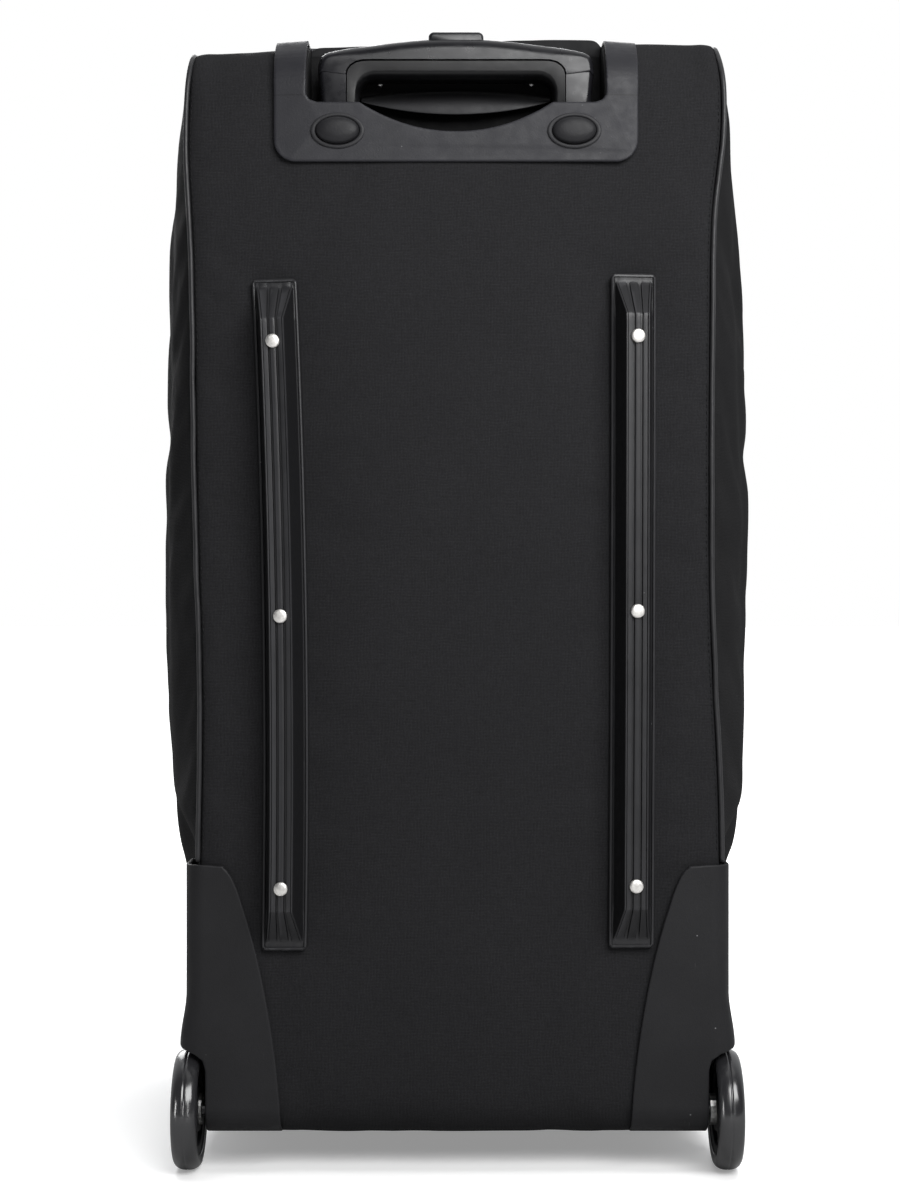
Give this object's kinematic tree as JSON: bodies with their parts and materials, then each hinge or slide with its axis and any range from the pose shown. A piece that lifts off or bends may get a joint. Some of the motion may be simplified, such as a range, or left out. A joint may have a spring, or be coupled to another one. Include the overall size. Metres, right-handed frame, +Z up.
{
  "type": "rolling duffel bag",
  "caption": "Tall soft-sided wheeled travel bag standing on two recessed wheels and front feet, with skid rails, a telescopic pull handle and a side-hinged zipped lid.",
  "frame": {"origin": "on the floor, at the centre of the bag's footprint box, with the bag standing upright", "axes": "+Z up along the bag's length; -Y out of the wheeled back with the handle and rails; +Y out of the lid at the front; +X to the right when facing the back"},
  "size_m": [0.4588, 0.3882, 0.8161],
  "materials": {
    "body_cloth": "plain-weave black polyester over foam",
    "piping": "black PVC-covered welt, satin",
    "moulding": "fine-grained black moulding",
    "grip": "satin black moulding",
    "board": "plain black polypropylene board",
    "tyre": "satin black polyurethane",
    "hub": "black moulded nylon",
    "nickel": "satin nickel plate",
    "steel": "zinc-plated steel",
    "alloy": "satin anodised aluminium",
    "zip": "dark painted zip hardware",
    "webbing": "padded webbing, black"
  },
  "bodies": {
    "bag": {"back_panel": "body_cloth", "base_panel": "body_cloth", "front_panel": "body_cloth", "side_panel_left": "body_cloth", "side_panel_right": "body_cloth", "piping_left": "piping", "piping_right": "piping", "back_board": "board", "base_board": "board", "wheel_housing_left": "moulding", "wheel_housing_right": "moulding", "axle_bolt_left": "steel", "axle_bolt_right": "steel", "foot_left": "moulding", "foot_right": "moulding", "skid_rail_left": "moulding", "skid_rail_right": "moulding", "rail_rivet_left_lower": "nickel", "rail_rivet_left_middle": "nickel", "rail_rivet_left_upper": "nickel", "rail_rivet_right_lower": "nickel", "rail_rivet_right_middle": "nickel", "rail_rivet_right_upper": "nickel", "handle_surround": "moulding", "handle_cup": "moulding", "surround_plug_left": "grip", "surround_plug_right": "grip", "outer_tube_left": "alloy", "outer_tube_right": "alloy", "tube_base_bracket": "moulding"},
    "middle_stage": {"middle_tube_left": "alloy", "middle_tube_right": "alloy", "middle_collar_left": "moulding", "middle_collar_right": "moulding"},
    "inner_stage": {"inner_tube_left": "alloy", "inner_tube_right": "alloy", "grip_cover": "grip", "grip_liner": "grip", "grip_leg_left": "grip", "grip_leg_right": "grip", "button_spring": "steel"},
    "release": {"release_button": "grip", "push_rod_left": "steel", "push_rod_right": "steel"},
    "pin_left": {"lock_pin_left": "steel"},
    "pin_right": {"lock_pin_right": "steel"},
    "wheel_left": {"tyre_left": "tyre", "wheel_hub_left": "hub", "wheel_bearing_left": "steel"},
    "wheel_right": {"tyre_right": "tyre", "wheel_hub_right": "hub", "wheel_bearing_right": "steel"},
    "lid": {"lid_panel": "body_cloth", "front_pocket": "body_cloth"},
    "zip_slider_upper": {"lid_zip_slider_upper": "zip"},
    "zip_slider_lower": {"lid_zip_slider_lower": "zip"},
    "zip_slider_pocket": {"pocket_zip_slider": "zip"},
    "top_carry": {"top_handle": "webbing"},
    "side_carry_left": {"side_handle_left": "webbing"},
    "side_carry_right": {"side_handle_right": "webbing"}
  },
  "joints": [
    {"name": "wheel_left_spin", "type": "hinge", "parent": "bag", "child": "wheel_left", "pos_m": [-0.19, -0.1488, 0.04214], "axis": [1, 0, 0], "continuous": true},
    {"name": "wheel_right_spin", "type": "hinge", "parent": "bag", "child": "wheel_right", "pos_m": [0.19, -0.1488, 0.04214], "axis": [1, 0, 0], "continuous": true},
    {"name": "handle_stage_1", "type": "slide", "parent": "bag", "child": "middle_stage", "axis": [0, 0, 1], "range_m": [0, 0.18]},
    {"name": "handle_stage_2", "type": "slide", "parent": "middle_stage", "child": "inner_stage", "axis": [0, 0, 1], "range_m": [0, 0.18]},
    {"name": "release_press", "type": "slide", "parent": "inner_stage", "child": "release", "axis": [0, 0, -1], "range_m": [0, 0.004], "stiffness_N_per_m": 400, "deforming": ["button_spring"]},
    {"name": "lock_pin_left_draw", "type": "slide", "parent": "inner_stage", "child": "pin_left", "axis": [1, 0, 0], "range_m": [0, 0.0016]},
    {"name": "lock_pin_right_draw", "type": "slide", "parent": "inner_stage", "child": "pin_right", "axis": [-1, 0, 0], "range_m": [0, 0.0016]},
    {"name": "lid_open", "type": "hinge", "parent": "bag", "child": "lid", "pos_m": [0.151, 0.1717, 0.4115], "axis": [0, 0, -1], "range_deg": [0, 120]},
    {"name": "lid_zip_upper", "type": "slide", "parent": "lid", "child": "zip_slider_upper", "axis": [0, 0, 1], "range_m": [0, 0.25]},
    {"name": "lid_zip_lower", "type": "slide", "parent": "lid", "child": "zip_slider_lower", "axis": [0, 0, -1], "range_m": [0, 0.225]},
    {"name": "pocket_zip", "type": "slide", "parent": "lid", "child": "zip_slider_pocket", "axis": [1, 0, 0], "range_m": [0, 0.17]},
    {"name": "top_handle_lift", "type": "slide", "parent": "bag", "child": "top_carry", "axis": [0, 0, 1], "range_m": [0, 0.025]},
    {"name": "side_handle_left_lift", "type": "slide", "parent": "bag", "child": "side_carry_left", "axis": [-1, 0, 0], "range_m": [0, 0.02]},
    {"name": "side_handle_right_lift", "type": "slide", "parent": "bag", "child": "side_carry_right", "axis": [1, 0, 0], "range_m": [0, 0.02]}
  ],
  "couplings": [
    {"joint": "lock_pin_left_draw", "follows": "release_press", "ratio": 0.4},
    {"joint": "lock_pin_right_draw", "follows": "release_press", "ratio": 0.4}
  ]
}
